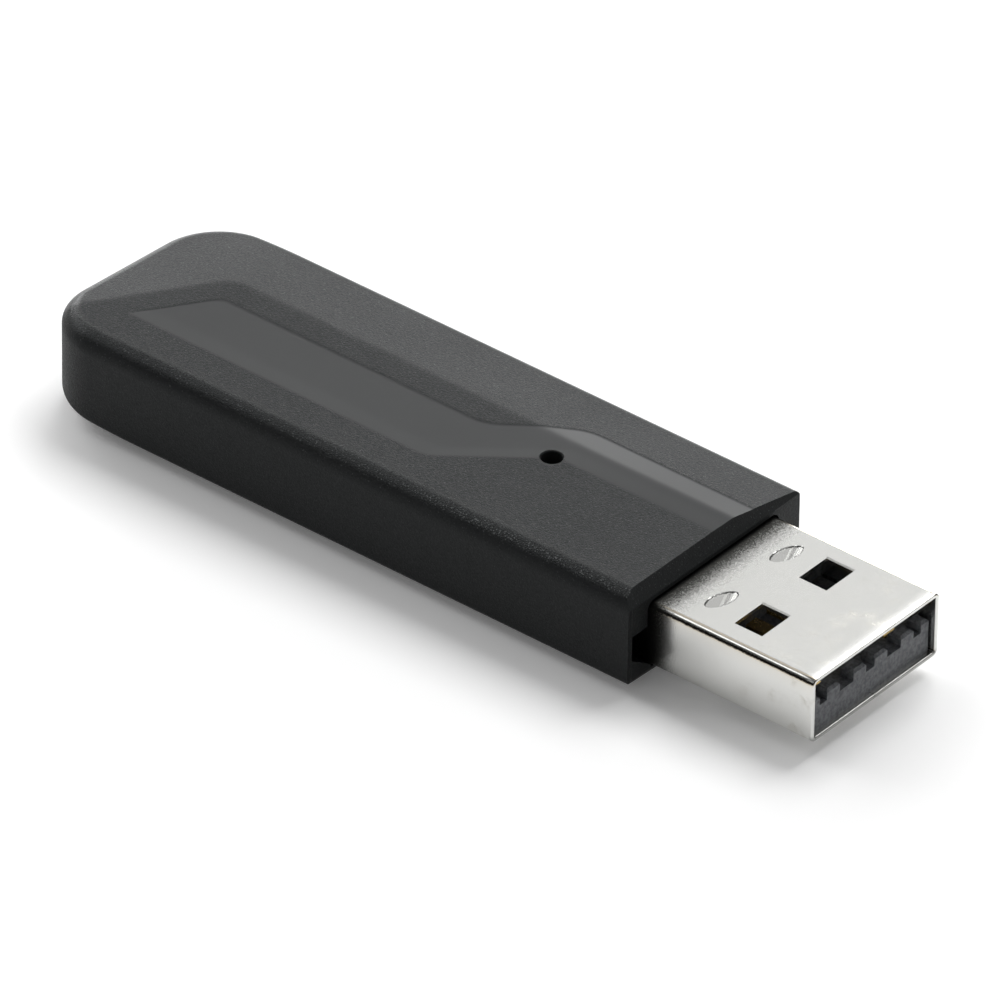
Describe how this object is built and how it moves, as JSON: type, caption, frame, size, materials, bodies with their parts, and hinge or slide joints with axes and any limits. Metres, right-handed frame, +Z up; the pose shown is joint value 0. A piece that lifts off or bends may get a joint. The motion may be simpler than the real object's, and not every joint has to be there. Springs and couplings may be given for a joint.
{
  "type": "smart home usb radio stick",
  "caption": "Slim stick-shaped USB radio adapter in a black two-shell plastic housing with bevelled slopes, a recessed panel, a light hole and a nickel USB-A plug.",
  "frame": {"origin": "middle of the whole stick in plan, on the flat underside that it rests on", "axes": "+X along the stick towards the mouth of the plug, +Z up through the side with the panel and the light hole, +Y to the side with the sloping roof"},
  "size_m": [0.0584, 0.0162, 0.0071],
  "materials": {
    "housing_plastic": "black moulded plastic with a fine spark-eroded texture",
    "nickel_steel": "nickel-plated sheet steel with faint stains",
    "insulator_plastic": "black glass-filled insulator",
    "gold_contact": "gold-plated spring copper",
    "board_laminate": "green solder mask over glass laminate",
    "trace_copper": "gold-flashed copper",
    "chip_epoxy": "black moulding compound",
    "crystal_metal": "plated lid",
    "component_ceramic": "fired ceramic with tinned ends",
    "clear_resin": "milky clear resin",
    "solder_tin": "bright solder"
  },
  "bodies": {
    "root": {"top_housing": "housing_plastic", "bottom_housing": "housing_plastic", "plug_shell": "nickel_steel", "plug_insulator": "insulator_plastic", "contact_vbus": "gold_contact", "contact_data_minus": "gold_contact", "contact_data_plus": "gold_contact", "contact_ground": "gold_contact", "circuit_board": "board_laminate", "antenna_trace": "trace_copper", "radio_controller": "chip_epoxy", "usb_bridge_chip": "chip_epoxy", "radio_amplifier": "chip_epoxy", "main_crystal": "crystal_metal", "clock_crystal": "crystal_metal", "voltage_regulator": "chip_epoxy", "surge_protector": "chip_epoxy", "ferrite_bead": "chip_epoxy", "status_light": "clear_resin", "ceramic_capacitors": "component_ceramic", "resistors": "chip_epoxy", "matching_coils": "component_ceramic", "shell_solder": "solder_tin", "contact_solder": "solder_tin"}
  },
  "joints": []
}
